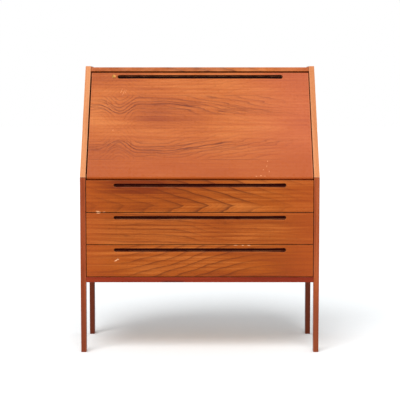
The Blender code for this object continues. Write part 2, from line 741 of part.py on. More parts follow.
def build_insert():
    """Pigeonholes: a shelf halved into two dividers, between two uprights."""
    low = FLOOR_Z + GAP
    rear = BOARD_BACK_Y - GAP
    middle_y = (INSERT_FRONT + rear) / 2
    inner = INSERT_HALF_WIDTH - UPRIGHT_THICKNESS
    for side, sign in SIDES:
        board("upright_" + side, side_span(sign, inner, INSERT_HALF_WIDTH),
              (INSERT_FRONT, rear), (low, INSERT_TOP), looks["teak_inside"], FINE_EDGE)
        half = DIVIDER_THICKNESS / 2
        divider = board("divider_" + side, side_span(sign, DIVIDER_X - half, DIVIDER_X + half),
                        (INSERT_FRONT + DIVIDER_SETBACK, rear), (low, INSERT_TOP - DIVIDER_DROP),
                        looks["teak_inside"], FINE_EDGE)
        halving = board("divider_halving_cutter_" + side,
                        side_span(sign, DIVIDER_X - OVERRUN, DIVIDER_X + OVERRUN),
                        (INSERT_FRONT - OVERRUN, middle_y + GAP),
                        (SHELF_Z - GAP, SHELF_Z + SHELF_THICKNESS + GAP), None, 0)
        combine(divider, halving)
    shelf = board("pigeonhole_shelf", (GAP - inner, inner - GAP), (INSERT_FRONT + SHELF_SETBACK, rear),
                  (SHELF_Z, SHELF_Z + SHELF_THICKNESS), looks["teak_inside"], FINE_EDGE)
    for side, sign in SIDES:
        half = DIVIDER_THICKNESS / 2 + GAP
        halving = board("shelf_halving_cutter_" + side,
                        side_span(sign, DIVIDER_X - half, DIVIDER_X + half),
                        (middle_y, rear + OVERRUN),
                        (SHELF_Z - OVERRUN, SHELF_Z + SHELF_THICKNESS + OVERRUN), None, 0)
        combine(shelf, halving)


def build_small_drawers():
    low = FLOOR_Z + SMALL_GAP
    high = SHELF_Z - SMALL_GAP
    face = INSERT_FRONT + SMALL_SETBACK
    behind = face + SMALL_FRONT_THICKNESS
    near = DIVIDER_X + DIVIDER_THICKNESS / 2 + SMALL_GAP
    far = INSERT_HALF_WIDTH - UPRIGHT_THICKNESS - SMALL_GAP
    centre = (near + far) / 2
    box_near, box_far = near + SMALL_BOX_GAP, far - SMALL_BOX_GAP
    for side, sign in SIDES:
        prefix = "small_drawer_" + side + "_"
        notch = arc((sign * centre, high), NOTCH_RADIUS, 180 if sign > 0 else 0,
                    360 if sign > 0 else -180, 12)
        outline = [
            (sign * near, high),
            *notch,
            (sign * far, high),
            (sign * far, low),
            (sign * near, low),
        ]
        profile(prefix + "front", "y", outline, (face, behind), looks["teak_inside"], FINE_EDGE)
        tray = board(prefix + "box", side_span(sign, box_near, box_far),
                     (behind + GAP, SMALL_BACK_Y), (low + SMALL_BOX_GAP, high - SMALL_BOX_DROP),
                     looks["birch"], 0)
        hollow = board(prefix + "hollow_cutter",
                       side_span(sign, box_near + SMALL_WALL, box_far - SMALL_WALL),
                       (behind + GAP + SMALL_WALL, SMALL_BACK_Y - SMALL_WALL),
                       (low + SMALL_BOX_GAP + SMALL_FLOOR, high + OVERRUN), None, 0)
        combine(tray, hollow)
        pivot = new_pivot(prefix + "slide", (sign * centre, face, (low + high) / 2))
        hang_on(pivot, prefix)


# ---------------------------------------------------------------- build

clear_scene()
parts = new_collection("secretary_desk")
cutters = new_collection("cutters")
looks = {
    "teak_fall": new_material("teak_fall", TEAK, 0.42),
    "teak_front": new_material("teak_front", TEAK, 0.42),
    "teak_edge": new_material("teak_edge", TEAK_LIGHT, 0.40),
    "teak_side": new_material("teak_side", TEAK, 0.45),
    "teak_leg": new_material("teak_leg", TEAK_DARK, 0.45),
    "teak_rail": new_material("teak_rail", TEAK_RED, 0.45),
    "teak_inside": new_material("teak_inside", TEAK, 0.50),
    "back_veneer": new_material("back_veneer", TEAK_DARK, 0.60),
    "birch": new_material("birch", BIRCH, 0.55),
    "drawer_floor": new_material("drawer_floor", BIRCH, 0.60),
    "brass": new_material("brass", BRASS, 0.28, 1.0),
    "steel": new_material("steel", (0.55, 0.55, 0.55), 0.35, 1.0),
}

axis_along = (PIVOT_Z - ELBOW_Z - (FALL_RECESS + FALL_THICKNESS / 2) * BEHIND.y) / ALONG.y
axis_point = slope_point(axis_along, FALL_RECESS + FALL_THICKNESS / 2)
FALL_AXIS = Vector((0.0, axis_point.x, axis_point.y))
FALL_TOP_ALONG = (TOP_UNDERSIDE - FALL_TOP_GAP - ELBOW_Z - FALL_RECESS * BEHIND.y) / ALONG.y
FALL_LENGTH = FALL_TOP_ALONG - axis_along
LOCK_Y = FALL_LENGTH - LOCK_DROP
fall_axis = new_pivot("fall_axis", FALL_AXIS, SLOPE_ANGLE)

build_sides()
build_boards()
build_runners()
build_strike_rail()
build_fall()
build_pivot_pins()
build_stays()
build_lock()
for drawer_level, drawer_name in enumerate(DRAWER_NAMES):
    build_drawer(drawer_level, drawer_name)
build_insert()
build_small_drawers()
bpy.context.view_layer.update()
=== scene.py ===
import math

import bpy
import numpy as np
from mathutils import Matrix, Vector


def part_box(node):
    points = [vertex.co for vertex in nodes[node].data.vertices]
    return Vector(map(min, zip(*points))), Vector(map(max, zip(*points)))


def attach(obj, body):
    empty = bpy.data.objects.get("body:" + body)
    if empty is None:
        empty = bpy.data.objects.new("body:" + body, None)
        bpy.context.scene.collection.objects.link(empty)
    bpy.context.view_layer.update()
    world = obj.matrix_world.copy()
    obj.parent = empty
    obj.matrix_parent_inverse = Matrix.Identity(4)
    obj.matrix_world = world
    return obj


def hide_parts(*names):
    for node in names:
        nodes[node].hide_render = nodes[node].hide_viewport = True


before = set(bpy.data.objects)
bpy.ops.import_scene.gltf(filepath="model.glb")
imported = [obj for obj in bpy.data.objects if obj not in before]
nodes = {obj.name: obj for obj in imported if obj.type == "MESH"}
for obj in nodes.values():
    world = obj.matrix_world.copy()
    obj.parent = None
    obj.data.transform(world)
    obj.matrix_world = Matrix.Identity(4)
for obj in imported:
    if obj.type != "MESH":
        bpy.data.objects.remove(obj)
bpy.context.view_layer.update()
sides = {"left": -1, "right": 1}
levels = ("lower", "middle", "top")
print("frame loaded:", len(nodes), "parts")

# the sloping front, from the elbow of the sides up to the top, and the fall's hinge line
desk = {
    "elbow": (-0.225, 0.7375),
    "slopeTop": (0.080, 1.206),
    "hinge": (0.0, -0.205963, 0.7365),
    "legDepth": 0.035,
    "jointGap": 0.00015,
}
slopeRun = np.subtract(desk["slopeTop"], desk["elbow"])
slopeRun = slopeRun / np.linalg.norm(slopeRun)
upFall = np.array([0.0, slopeRun[0], slopeRun[1]])
outOfFall = np.array([0.0, -slopeRun[1], slopeRun[0]])
rightward = np.array([1.0, 0.0, 0.0])
backward = np.array([0.0, 1.0, 0.0])
upward = np.array([0.0, 0.0, 1.0])
origin = np.zeros(3)
hinge = np.array(desk["hinge"])


# one number inside a shader, so that its sums can be written as Python
class Wire:
    def __init__(self, finish, node, socket):
        self.finish, self.node, self.socket = finish, node, socket

    def other(self, name):
        return Wire(self.finish, self.node, self.node.outputs[name])

    def __add__(self, value):
        return self.finish.maths("ADD", self, value)

    def __radd__(self, value):
        return self.finish.maths("ADD", value, self)

    def __sub__(self, value):
        return self.finish.maths("SUBTRACT", self, value)

    def __rsub__(self, value):
        return self.finish.maths("SUBTRACT", value, self)

    def __mul__(self, value):
        return self.finish.maths("MULTIPLY", self, value)

    def __rmul__(self, value):
        return self.finish.maths("MULTIPLY", value, self)

    def __truediv__(self, value):
        return self.finish.maths("DIVIDE", self, value)

    def __pow__(self, value):
        return self.finish.maths("POWER", self, value)

    def __abs__(self):
        return self.finish.maths("ABSOLUTE", self)


# one material with a Principled shader, and short calls for the nodes that feed it
class Finish:
    def __init__(self, name, constants):
        self.material = bpy.data.materials.new(name)
        self.material.use_nodes = True
        self.tree = self.material.node_tree
        self.tree.nodes.clear()
        output = self.tree.nodes.new("ShaderNodeOutputMaterial")
        self.shader = self.tree.nodes.new("ShaderNodeBsdfPrincipled")
        self.tree.links.new(self.shader.outputs["BSDF"], output.inputs["Surface"])
        for socket, value in constants.items():
            self.shader.inputs[socket].default_value = value
        self.place = self.node("ShaderNodeTexCoord", out="Object")
        self.facing = self.place.other("Normal")

    # a node of any type: settings first, then the values or links of its sockets
    def node(self, kind, settings=None, values=None, out=0):
        node = self.tree.nodes.new(kind)
        for name, value in (settings or {}).items():
            if name == "stops":
                while len(node.color_ramp.elements) < len(value):
                    node.color_ramp.elements.new(0.5)
                for element, (position, colour) in zip(node.color_ramp.elements, value):
                    element.position, element.color = position, colour
            else:
                setattr(node, name, value)
        for name, value in (values or {}).items():
            if isinstance(value, Wire):
                self.tree.links.new(value.socket, node.inputs[name])
            else:
                node.inputs[name].default_value = value
        return Wire(self, node, node.outputs[out])

    def maths(self, operation, *values):
        return self.node("ShaderNodeMath", {"operation": operation}, dict(enumerate(values)))

    def dot(self, vector, direction):
        return self.node("ShaderNodeVectorMath", {"operation": "DOT_PRODUCT"},
                         {0: vector, 1: tuple(direction)}, "Value")

    # 0 below low, 1 above high, and a smooth S between
    def rise(self, value, low, high):
        return self.node("ShaderNodeMapRange", {"interpolation_type": "SMOOTHSTEP"},
                         {"Value": value, "From Min": low, "From Max": high})

    def blend(self, first, second, share):
        return self.node("ShaderNodeMix", {"data_type": "RGBA"}, {0: share, 6: first, 7: second}, 2)

    def noise(self, parts, detail=2.0, roughness=0.5):
        vector = self.node("ShaderNodeCombineXYZ", None, dict(enumerate(parts)))
        return self.node("ShaderNodeTexNoise", None,
                         {"Vector": vector, "Scale": 1.0, "Detail": detail, "Roughness": roughness})

    def ramp(self, value, stops):
        return self.node("ShaderNodeValToRGB", {"stops": stops}, {0: value})

    def finishWith(self, colour, roughness, height, depth):
        bump = self.node("ShaderNodeBump", None,
                         {"Height": height, "Distance": depth, "Strength": 1.0})
        for name, wire in (("Base Color", colour), ("Roughness", roughness), ("Normal", bump)):
            self.tree.links.new(wire.socket, self.shader.inputs[name])
        return self.material


# a colour from red, green and blue of 0 to 255, as the shader's linear values
def paint(red, green, blue):
    share = np.array([red, green, blue]) / 255.0
    linear = np.where(share <= 0.04045, share / 12.92, ((share + 0.055) / 1.055) ** 2.4)
    return (*linear.tolist(), 1.0)


def tones(**colours):
    return {name: paint(*colour) for name, colour in colours.items()}


# which way a board's grain runs: along it, across it on the face, and into its thickness
grains = {
    "sideways": dict(origin=origin, along=rightward, across=upward, into=backward),
    "upright": dict(origin=origin, along=upward, across=rightward, into=backward),
    "uprightSide": dict(origin=origin, along=upward, across=backward, into=rightward),
    "flat": dict(origin=origin, along=rightward, across=backward, into=upward),
    "frontToBack": dict(origin=origin, along=backward, across=upward, into=rightward),
    "fall": dict(origin=hinge, along=rightward, across=upFall, into=-outOfFall),
    "slope": dict(origin=hinge, along=upFall, across=rightward, into=-outOfFall),
}


# what every wood starts from
plainWood = {
    "seed": 0.0, "broad": 1.1, "streaky": 0.9, "fibrous": 0.30, "figure": 0.6, "fineFigure": 0.22,
    "wander": 1.2, "sharp": 4.0, "porous": 0.45, "rough": 0.36, "wearAndHighlight": 0.5, "grainDepth": 0.00018,
    "sheen": 0.13, "density": 1.5,
}


# wood: broad tone, growth-ring lines from a figure, streaks, fibres and pores along the grain,
# end grain where the face looks along it, and a lighter arris where the face looks between two of them,
# part real wear and part painted highlight
def wood(name, ownLook, grain, figure=None, details=None, presence=None):
    look = {**plainWood, **ownLook}
    finish = Finish(name, {"Specular IOR Level": look["sheen"], "IOR": look["density"]})
    ways = [grain[way] for way in ("along", "across", "into")]
    along, across, into = (finish.dot(finish.place, way) - float(np.dot(grain["origin"], way))
                           for way in ways)
    looksAlong, looksAcross, looksInto = (abs(finish.dot(finish.facing, way)) for way in ways)
    seed = look["seed"]
    broad = finish.noise((along * 1.7 + seed, across * 5.0, into * 5.0), 2.0)
    streaks = finish.noise((along * 2.2, across * 110.0, into * 90.0 + seed), 4.0, 0.6)
    fibres = finish.noise((along * 13.0, across * 520.0, into * 520.0 + seed), 2.0)
    pores = finish.rise(finish.noise((along * 70.0, across * 1700.0, into * 1700.0), 1.0), 0.60, 0.70)
    tone = ((broad - 0.5) * look["broad"] + (streaks - 0.5) * look["streaky"]
            + (fibres - 0.5) * look["fibrous"] + 0.5)
    colour = finish.ramp(tone, [(0.12, look["dark"]), (0.5, look["mid"]), (0.88, look["light"])])
    if figure:
        wander = finish.noise((along * 4.0 + seed, across * 16.0, into * 16.0), 3.0, 0.55) - 0.5
        rings = figure(finish, along, across) + wander * look["wander"]
        ring = finish.maths("FRACT", rings)
        line = ring ** look["sharp"] * (1.0 - finish.rise(ring, 0.93, 1.0))
        fineRing = finish.maths("FRACT", rings * 4.0 + 0.37)
        fineLine = fineRing ** 3.0 * (1.0 - finish.rise(fineRing, 0.85, 1.0))
        strength = finish.rise(finish.noise((along * 3.0, across * 9.0, into * 9.0 + 4.0), 2.0), 0.34, 0.62)
        if "bold" in look:  # lines are bold between two places along the board
            start, end = look["bold"]
            strength = strength * 0.3 + 0.9 * finish.rise(along, start - 0.14, start + 0.06) * (
                1.0 - finish.rise(along, end - 0.04, end + 0.10))
        line = line * (strength * 0.7 + 0.3)
        if presence:
            line = line * (presence(finish, along, across) * 0.7 + 0.3)
            strength = strength * presence(finish, along, across)
        colour = finish.blend(colour, look["line"], line * look["figure"])
        colour = finish.blend(colour, look["line"], fineLine * strength * look["fineFigure"])
    colour = finish.blend(colour, look["pore"], pores * look["porous"])
    rough = (fibres - 0.5) * 0.10 + pores * 0.18 + look["rough"]
    height = fibres * 0.5 - pores * 0.8
    if details:
        colour, rough = details(finish, colour, rough, along, across, into)
    ends = finish.rise(looksAlong, 0.75, 0.9)
    endPores = finish.noise((along * 40.0, across * 900.0, into * 900.0), 2.0, 0.7)
    endColour = finish.blend(look["line"], look["mid"], finish.rise(endPores, 0.3, 0.75))
    colour = finish.blend(colour, endColour, ends * 0.8)
    # lighter arrises in patches: part real wear, part painted highlight
    widest = finish.maths("MAXIMUM", finish.maths("MAXIMUM", looksAlong, looksAcross), looksInto)
    arrisPatches = finish.noise((along * 22.0, across * 22.0, into * 22.0), 3.0)
    arris = (1.0 - finish.rise(widest, 0.90, 0.985)) * finish.rise(arrisPatches, 0.2, 0.75)
    if "wearAndHighlightFrom" in look:
        arris = arris * finish.rise(across, look["wearAndHighlightFrom"] - 0.002, look["wearAndHighlightFrom"])
    colour = finish.blend(colour, look["worn"], arris * look["wearAndHighlight"])
    return finish.finishWith(colour, rough, height, look["grainDepth"])


# brass or steel: fine brushing one way, soft tarnish clouds and darker specks
def metal(name, look, brushing):
    finish = Finish(name, {"Metallic": 1.0})
    along = finish.dot(finish.place, brushing)
    split = finish.node("ShaderNodeSeparateXYZ", None, {0: finish.place})
    y, z = split.other("Y"), split.other("Z")
    x = split.other("X")
    clouds = finish.noise((x * 90.0, y * 90.0, z * 90.0), 4.0, 0.6)
    brushed = finish.noise((along * 120.0, y * 2600.0, z * 2600.0), 2.0)
    specks = finish.rise(finish.noise((x * 700.0, y * 700.0, z * 700.0), 2.0), 0.62, 0.74)
    colour = finish.blend(look["bright"], look["dull"], finish.rise(clouds, 0.35, 0.7))
    colour = finish.blend(colour, look["speck"], specks * 0.6)
    rough = clouds * 0.25 + (brushed - 0.5) * 0.15 + specks * 0.2 + look["rough"]
    return finish.finishWith(colour, rough, brushed * 0.5 - specks, 0.00004)


# the layers of plywood show on its edges: light and dark plies through the thickness
def plies(thickness, dark):
    def details(finish, colour, rough, along, across, into):
        layer = finish.maths("PINGPONG", into, thickness)
        edge = 1.0 - finish.rise(abs(finish.dot(finish.facing, upward)), 0.5, 0.9)
        band = finish.rise(layer, thickness * 0.45, thickness * 0.55)
        return finish.blend(colour, dark, band * edge * 0.55), rough
    return details


# rings of a convex outline walked anticlockwise, pulled in by each inset:
# point = corner - R * (n1 + n2) / (1 + n1.n2) + (R - inset) * direction, direction turning from n1 to n2
def outlineRings(corners, radius, insets, steps=5):
    corners = np.asarray(corners, float)
    leaving = np.roll(corners, -1, 0) - corners
    leaving = leaving / np.linalg.norm(leaving, axis=1, keepdims=True)
    arriving = np.roll(leaving, 1, 0)
    firstNormal = np.stack([arriving[:, 1], -arriving[:, 0]], 1)
    nextNormal = np.stack([leaving[:, 1], -leaving[:, 0]], 1)
    cosine = (firstNormal * nextNormal).sum(1)
    radius = np.broadcast_to(np.asarray(radius, float), (len(corners),))
    centre = corners - radius[:, None] * (firstNormal + nextNormal) / (1 + cosine)[:, None]
    turn = np.arccos(np.clip(cosine, -1, 1))
    angle = (np.arctan2(firstNormal[:, 1], firstNormal[:, 0])[:, None]
             + turn[:, None] * np.linspace(0, 1, steps + 1))
    direction = np.stack([np.cos(angle), np.sin(angle)], 2)
    reach = radius[None, :, None, None] - np.asarray(insets, float)[:, None, None, None]
    rings = centre[None, :, None, :] + reach * direction[None]
    return rings.reshape(len(insets), -1, 2)


# a board: its outline carried along w, both ends rounded over as
# inset = arris * (1 - sin t), run = arris * (1 - cos t), t from 0 to 90 degrees
def boardRings(corners, span, arris, radius=None, steps=4):
    t = np.linspace(0, math.pi / 2, steps + 1)
    inset, run = arris * (1 - np.sin(t)), arris * (1 - np.cos(t))
    along = np.concatenate([span[0] + run, (span[1] - run)[::-1]])
    radius = np.maximum(arris if radius is None else radius, arris + 0.0001)
    flat = outlineRings(corners, radius, np.concatenate([inset, inset[::-1]]))
    return np.concatenate([flat, np.broadcast_to(along[:, None, None], (*flat.shape[:2], 1))], 2)


# a shape turned about w: circles of the profile's radius r at its height h
def turnedRings(profile, segments=48):
    profile = np.asarray(profile, float)
    angle = np.linspace(0, 2 * math.pi, segments, endpoint=False)
    circle = np.stack([np.cos(angle), np.sin(angle), np.zeros(segments)], 1)
    return profile[:, :1, None] * circle + profile[:, 1:, None] * upward


# u, v and w of the rings become places: origin + u * U + v * V + w * W
def placed(rings, start, u, v, w):
    return np.asarray(start) + rings[..., :1] * u + rings[..., 1:2] * v + rings[..., 2:] * w


# points and faces of a grid of rings, each closed round; the ends are capped, or joined to each other
def loft(rings, joined=False):
    count, around = rings.shape[:2]
    index = np.arange(count * around).reshape(count, around)
    if joined:
        index = np.concatenate([index, index[:1]], 0)
    here, there = index[:-1], index[1:]
    quads = np.stack([here, np.roll(here, -1, 1), np.roll(there, -1, 1), there], 2).reshape(-1, 4).tolist()
    if not joined:
        quads += [index[0][::-1].tolist(), index[-1].tolist()]
    return rings.reshape(-1, 3), quads


# many copies of one small shape: every place gives a centre and its u, v and w directions
def copies(shape, places):
    points, faces = shape
    allPoints, allFaces = [], []
    for start, u, v, w in places:
        shift = len(points) * len(allPoints)
        allPoints.append(placed(points, start, u, v, w))
        allFaces += [[corner + shift for corner in face] for face in faces]
    return np.concatenate(allPoints), allFaces


def newMesh(name, shape):
    points, faces = shape
    mesh = bpy.data.meshes.new(name)
    mesh.from_pydata(points.tolist(), [], faces)
    mesh.update()
    triangles = np.array([(face[0], face[i], face[i + 1]) for face in faces
                          for i in range(1, len(face) - 1)])
    a, b, c = (points[triangles[:, i]] for i in range(3))
    if (np.cross(a, b) * c).sum() < 0:  # the volume is negative when the faces look inwards
        mesh.flip_normals()
    return mesh


def carved(item, shapes):
    for shape in shapes:
        cutter = bpy.data.objects.new("cutter", newMesh("cutter", shape))
        bpy.context.scene.collection.objects.link(cutter)
        cut = item.modifiers.new("cut", "BOOLEAN")
        cut.operation, cut.solver, cut.object = "DIFFERENCE", "EXACT", cutter
        done = bpy.data.meshes.new_from_object(item.evaluated_get(bpy.context.evaluated_depsgraph_get()))
        item.modifiers.clear()
        item.data = done
        bpy.data.objects.remove(cutter)
    return item


def dress(item, finish):
    item.data.materials.clear()
    item.data.materials.append(finish)


# the lowest and the highest corner of a CAD node
def nodeBox(node):
    return [np.array(corner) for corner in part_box(node)]


# a finished piece: its shape, less what is cut away, riding on its body
def addPiece(name, shape, material, body, stands=(), cuts=(), sharp=38.0):
    item = bpy.data.objects.new(name, newMesh(name, shape))
    bpy.context.scene.collection.objects.link(item)
    carved(item, cuts)
    dress(item, material)
    item.data.shade_smooth()
    item.data.set_sharp_from_angle(angle=math.radians(sharp))
    weighted = item.modifiers.new("even shading", "WEIGHTED_NORMAL")
    weighted.keep_sharp = True
    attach(item, body)
    if stands:
        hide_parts(*stands)
    return item


def rectangle(low, high):
    return [(low[0], low[1]), (high[0], low[1]), (high[0], high[1]), (low[0], high[1])]


# a plain board in place of a CAD box: its section is carried along its longest axis
def boardFor(node, material, arris=0.0010, body="root", radius=None):
    low, high = nodeBox(node)
    w = int(np.argmax(high - low))
    u, v = (w + 1) % 3, (w + 2) % 3
    axes = np.eye(3)
    rings = boardRings(rectangle(low[[u, v]], high[[u, v]]), (low[w], high[w]), arris, radius)
    return addPiece(node + "_board", loft(placed(rings, origin, axes[u], axes[v], axes[w])),
                    material, body, (node,))


teak = {
    **tones(dark=(132, 52, 14), mid=(170, 82, 26), light=(196, 108, 48),
            line=(84, 30, 8), pore=(84, 30, 12), worn=(226, 148, 96)),
}


# the routed finger grooves along the top edges of the fall and the drawers
groove = {
    "halfLength": 0.360, "depth": 0.013, "lean": 0.003, "mouth": 0.0009, "lip": 0.0010,
    "inner": 0.003, "drop": 0.021, "steps": 5, "endSwell": 0.0012,
}

# the fall's veneer: leaves mirrored about their joints, v = distance from the middle joint,
# folded every leaf width; rings = spread * (v + bend(x)), where bend is a V-shaped dip near the left
# end and a long slope towards the right
fallLook = {
    **teak, **tones(dark=(146, 62, 18), mid=(181, 91, 32), light=(204, 118, 56),
            line=(104, 40, 14)), "seed": 3.1, "figure": 0.72, "fineFigure": 0.16, "wander": 3.4,
    "middleJoint": 0.2413, "leaf": 0.1605, "heart": 0.112, "spread": 52.0,
    "dipAt": -0.345, "dip": 0.060, "dipSlope": 0.72, "dipRound": 0.010, "fallsFrom": -0.13, "falls": 0.20,
    "halfWidth": 0.4735, "leftHalfWidth": 0.4715, "lipping": 0.005, "lippingColour": paint(196, 110, 66),
    "broad": 1.3, "streaky": 0.80, "wearAndHighlight": 0.6, "wearAndHighlightFrom": 0.006, "bold": (-0.42, 0.30), "rough": 0.34,
    "showsFrom": (0.050, 0.085), "showsTo": (0.150, 0.162),
    "heartLines": [(2.0, 0.0, 0.8), (7.3, 0.014, 0.6), (11.9, -0.016, 0.5), (5.1, -0.032, 0.4)],
    **tones(pink=(188, 92, 62), low=(166, 74, 20)),
}
# painted shade inside the fall's groove: dark, with painted light along the lower part of its floor
fallGroove = {
    **tones(shade=(32, 3, 1), lit=(180, 60, 24)), "middle": 0.4981, "band": (0.0125, 0.0145),
    "end": (0.362, 0.364), "front": (0.006, 0.008), "floor": (-0.0094, -0.0080),
    "litBelow": (0.4935, 0.4975), "litMiddle": -0.002, "litEnd": (0.345, 0.352),
}
# three scratches at the top left, then chips and dents: (along, across, half width, half height,
# slant, lean)
fallMarks = [
    (-0.340, 0.424, 0.0011, 0.016, 0.0, 0.35), (-0.330, 0.416, 0.0010, 0.018, 0.0, 0.35),
    (-0.321, 0.420, 0.0009, 0.015, 0.0, 0.35),
    (0.236, -0.001, 0.0035, 0.0020, 0.0, 0.0), (0.255, 0.002, 0.0045, 0.0028, 0.0, 0.0),
    (0.272, 0.000, 0.0030, 0.0022, 0.0, 0.0), (-0.370, 0.225, 0.0030, 0.0028, 0.4, 0.0),
    (0.285, 0.072, 0.0028, 0.0028, 0.0, 0.2), (0.281, 0.048, 0.0016, 0.0060, 0.0, 0.2),
    (0.265, 0.030, 0.0034, 0.0020, 0.3, 0.0), (0.290, 0.022, 0.0016, 0.0040, 0.0, 0.1),
]


def fallBend(finish, along):
    side = finish.maths("SQRT", (along - fallLook["dipAt"]) ** 2.0 + fallLook["dipRound"] ** 2)
    dip = finish.rise(fallLook["dip"] - side * fallLook["dipSlope"], 0.0, fallLook["dip"]) * fallLook["dip"]
    return dip + finish.maths("MAXIMUM", along - fallLook["fallsFrom"], 0.0) * fallLook["falls"]


def fallFigure(finish, along, across):
    fold = finish.maths("PINGPONG", across - fallLook["middleJoint"], fallLook["leaf"])
    return (fold + fallBend(finish, along)) * fallLook["spread"]


# the figure shows in each leaf's outer part only
def fallPresence(finish, along, across):
    away = abs(across - fallLook["middleJoint"])
    return finish.rise(away, *fallLook["showsFrom"]) * (1.0 - finish.rise(away, *fallLook["showsTo"]))


# small pale chips at (a, b): |(x - lean * y) / w, (y - slant * x) / h| + noise < 1,
# with x and y measured from (a, b)
def chips(finish, colour, along, across, marks, chipColour):
    ragged = finish.noise((along * 320.0, across * 320.0, 0.0), 3.0) * 1.7 - 0.80
    for a, b, width, height, slant, lean in marks:
        offset = across - b - (along - a) * slant
        sideways = along - a - (across - b) * lean
        distance = finish.maths("SQRT", (sideways / width) ** 2.0 + (offset / height) ** 2.0)
        chip = 1.0 - finish.rise(distance + ragged, 0.55, 1.05)
        colour = finish.blend(colour, chipColour, chip * 0.8)
    return colour


def fallDetails(finish, colour, rough, along, across, into):
    look = fallLook
    # pinker towards the right, deeper orange low on the face
    colour = finish.blend(colour, look["pink"], finish.rise(along, 0.05, 0.5) * 0.5)
    colour = finish.blend(colour, look["low"], (1.0 - finish.rise(across, 0.02, 0.22)) * 0.7)
    seam = finish.maths("PINGPONG", across - look["middleJoint"], look["leaf"])
    # broken dark lines run along the heart of each leaf
    bend = fallBend(finish, along) * 0.8
    broken = finish.rise(finish.noise((along * 6.0, across * 8.0, 3.0), 2.0), 0.34, 0.50) * fallPresence(
        finish, along, across)
    for phase, offset, strength in look["heartLines"]:
        drift = finish.noise((along * 4.5 + phase, seam * 14.0, phase), 3.0, 0.6) - 0.5
        apart = abs(seam + bend - look["heart"] + drift * 0.045 + offset)
        colour = finish.blend(colour, look["line"],
                              (1.0 - finish.rise(apart, 0.0004, 0.0044)) * broken * strength)
    seamLine = finish.rise(seam, look["leaf"] - 0.0016, look["leaf"] - 0.0004) * finish.rise(
        finish.noise((along * 4.0, across * 3.0, 9.0), 1.0), 0.36, 0.60)
    colour = finish.blend(colour, look["line"], seamLine * 0.7)
    edge = finish.rise(abs(along), look["halfWidth"] - look["lipping"] - 0.0004,
                       look["halfWidth"] - look["lipping"])
    colour = finish.blend(colour, look["lippingColour"], edge * 0.35)
    colour = chips(finish, colour, along, across, fallMarks, look["worn"])
    # painted shade inside the groove, and a painted lit strip along the lower part of its floor
    inGroove = (1.0 - finish.rise(abs(across - fallGroove["middle"]), *fallGroove["band"])) * (
        1.0 - finish.rise(abs(along), *fallGroove["end"]))
    front = 1.0 - finish.rise(into, *fallGroove["front"])
    deep = finish.rise(into, *fallGroove["floor"]) * front * inGroove
    lit = (1.0 - finish.rise(across, *fallGroove["litBelow"])) * (
        1.0 - finish.rise(abs(along - fallGroove["litMiddle"]), *fallGroove["litEnd"]))
    inside = finish.blend(fallGroove["shade"], fallGroove["lit"], lit)
    return finish.blend(colour, inside, deep), rough + deep * 0.5


# each drawer front has its own leaf of veneer; rings grow as tilted or V-shaped lines
drawerLook = {
    **teak, **tones(dark=(124, 48, 8), mid=(162, 77, 16), light=(192, 106, 42),
            line=(78, 26, 4), shade=(62, 5, 1)), "streaky": 1.2, "broad": 1.5, "wearAndHighlight": 0.25,
    "rough": 0.36, **tones(chip=(232, 172, 126), redder=(166, 72, 24)), "face": -0.223,
    "grooveBand": (0.0100, 0.0115), "grooveFloor": (0.0010, 0.0024), "grooveBack": (0.0165, 0.018),
}


# V lines with tips pointing right, upper arms long and lower arms steep
topV = {"tipHeight": 0.618, "round": 0.003, "upper": 30.0, "lower": 19.0, "sideways": 8.7, "start": 0.53}


def topFigure(finish, along, across):
    above = finish.maths("MAXIMUM", across - topV["tipHeight"], 0.0)
    below = finish.maths("MAXIMUM", topV["tipHeight"] - across, 0.0)
    tip = finish.maths("SQRT", above ** 2.0 + topV["round"] ** 2) * topV["upper"] + below * topV["lower"]
    return tip + along * topV["sideways"] + topV["start"]


# long waves that fall a little to the right
middleWave = {"turns": 9.0, "height": 0.006, "falls": 0.06, "spread": 46.0}


def middleFigure(finish, along, across):
    wave = finish.maths("SINE", along * middleWave["turns"]) * middleWave["height"]
    return (across + along * middleWave["falls"] + wave) * middleWave["spread"]


# lines that sweep up to the right in the middle and run level at both ends
lowerSweep = {"spread": 34.0, "from": -0.42, "to": 0.34, "rings": 6.0, "start": 0.31}


def lowerFigure(finish, along, across):
    swept = finish.rise(along, lowerSweep["from"], lowerSweep["to"]) * lowerSweep["rings"]
    return across * lowerSweep["spread"] - swept + lowerSweep["start"]


drawerFigures = {"lower": lowerFigure, "middle": middleFigure, "top": topFigure}
drawerMarks = {
    "lower": [(-0.348, 0.3903, 0.0080, 0.0034, 0.75, 0.0), (-0.353, 0.3880, 0.0050, 0.0032, 0.3, 0.3),
              (-0.340, 0.3930, 0.0034, 0.0020, 0.6, 0.0),
              (0.180, 0.4521, 0.006, 0.0022, 0.0, 0.0), (0.205, 0.4523, 0.008, 0.0024, 0.0, 0.0),
              (0.150, 0.4526, 0.010, 0.0014, 0.0, 0.0)],
    "middle": [(-0.424, 0.5882, 0.010, 0.0024, 0.0, 0.0)],
    "top": [(-0.424, 0.5935, 0.012, 0.0034, -0.2, 0.0), (-0.400, 0.5925, 0.006, 0.0016, 0.0, 0.0)],
}
drawerFinishes = {
    "lower": dict(seed=7.7, figure=0.75, wander=1.1, fineFigure=0.24, bold=(-0.24, 0.16),
                  dark=paint(138, 58, 14)),
    "middle": dict(seed=2.4, figure=0.60, wander=2.6, fineFigure=0.34, light=paint(188, 102, 40),
                   mid=paint(158, 75, 18), broad=1.2, bold=(-0.36, -0.05)),
    "top": dict(seed=5.3, figure=0.85, wander=1.0, fineFigure=0.26, bold=(-0.10, 0.18)),
}


